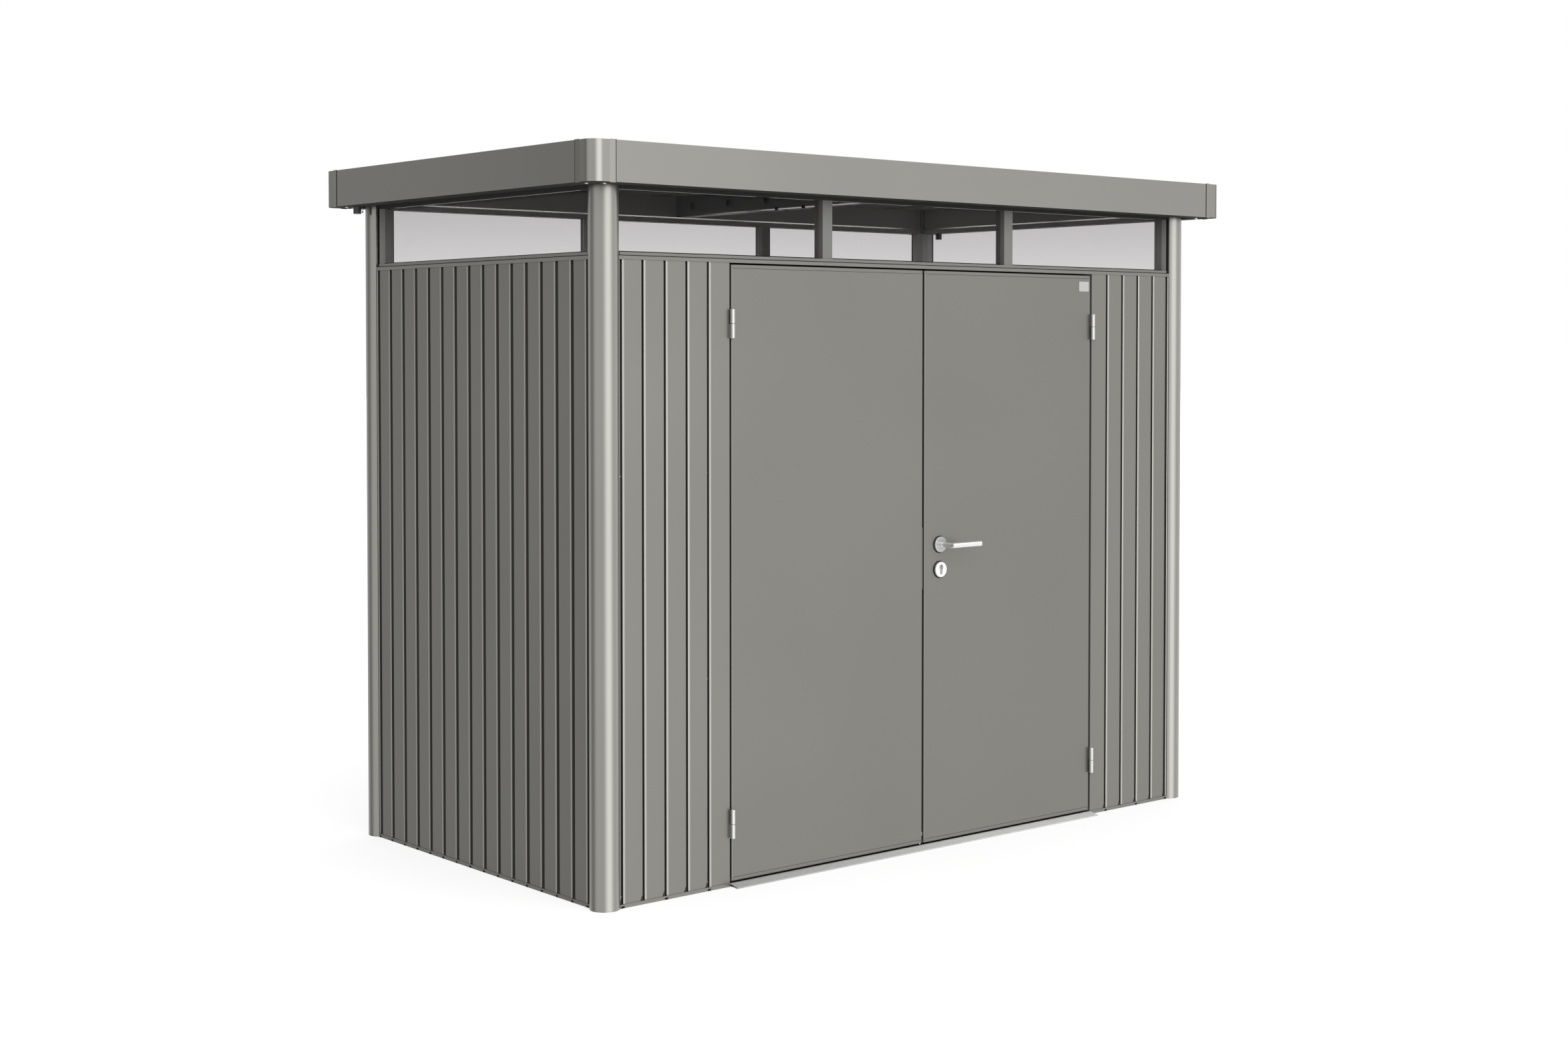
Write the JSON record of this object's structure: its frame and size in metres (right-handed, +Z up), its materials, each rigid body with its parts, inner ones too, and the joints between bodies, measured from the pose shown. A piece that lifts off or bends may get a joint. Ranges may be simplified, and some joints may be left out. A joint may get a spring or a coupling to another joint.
{
  "type": "metal tool shed",
  "caption": "Flat-roofed sheet-metal tool shed with round corner posts, grooved walls, a clerestory window band under the roof and a pair of hinged doors with a lever lock.",
  "frame": {"origin": "on the ground, in the middle of the roof outline", "axes": "+X to the right along the front, +Y from the doors to the back, +Z up"},
  "size_m": [2.76, 1.55, 2.22],
  "materials": {
    "powder_grey": "satin metallic grey powder coat on zinc-coated sheet steel",
    "powder_grey_frame": "satin grey powder coat on folded and hollow profiles",
    "acrylic": "clear acrylic sheet with a faint grey tint",
    "stainless_steel": "brushed stainless steel",
    "galvanised_steel": "bare zinc-coated plate, fine grey grain",
    "outlet_plastic": "dark moulded plastic"
  },
  "bodies": {
    "shed": {"base_rail_front": "powder_grey", "base_rail_back": "powder_grey", "base_rail_left": "powder_grey", "base_rail_right": "powder_grey", "post_front_left": "powder_grey", "post_front_right": "powder_grey", "post_rear_left": "powder_grey", "post_rear_right": "powder_grey", "wall_front_left": "powder_grey", "wall_front_right": "powder_grey", "wall_back": "powder_grey", "wall_left": "powder_grey", "wall_right": "powder_grey", "sill_front": "powder_grey", "sill_back": "powder_grey", "sill_left": "powder_grey", "sill_right": "powder_grey", "panes_front": "acrylic", "panes_back": "acrylic", "panes_side": "acrylic", "mullions": "powder_grey", "window_corner_angles": "powder_grey_frame", "head_rail_front": "powder_grey_frame", "head_rail_back": "powder_grey_frame", "head_rail_left": "powder_grey_frame", "head_rail_right": "powder_grey_frame", "roof_sheet": "powder_grey", "roof_beam": "powder_grey_frame", "fascia_front": "powder_grey", "fascia_back": "powder_grey", "fascia_left": "powder_grey", "fascia_right": "powder_grey", "roof_corner_caps": "powder_grey", "rainwater_outlets": "outlet_plastic", "door_jambs": "powder_grey_frame", "frame_hinges": "stainless_steel", "threshold_ramps": "galvanised_steel"},
    "left_door": {"left_door_skin": "powder_grey", "left_door_frame": "powder_grey_frame", "left_door_end_strips": "powder_grey", "left_door_hinges": "stainless_steel", "strike_plate": "stainless_steel"},
    "right_door": {"right_door_skin": "powder_grey", "right_door_frame": "powder_grey_frame", "right_door_end_strips": "powder_grey", "right_door_hinges": "stainless_steel", "lock_forend": "stainless_steel", "lock_roses": "stainless_steel", "key_cylinder": "stainless_steel"},
    "lever": {"lever": "stainless_steel"}
  },
  "joints": [
    {"name": "left_door_hinge", "type": "hinge", "parent": "shed", "child": "left_door", "pos_m": [-0.802, -0.6825, 0], "axis": [0, 0, -1], "range_deg": [0, 110]},
    {"name": "right_door_hinge", "type": "hinge", "parent": "shed", "child": "right_door", "pos_m": [0.802, -0.6825, 0], "axis": [0, 0, 1], "range_deg": [0, 110]},
    {"name": "lever_turn", "type": "hinge", "parent": "right_door", "child": "lever", "pos_m": [0.073, -0.6725, 0.989], "axis": [0, 1, 0], "range_deg": [0, 45], "stiffness_Nm_per_rad": 1.5, "springref_deg": -28.65}
  ]
}
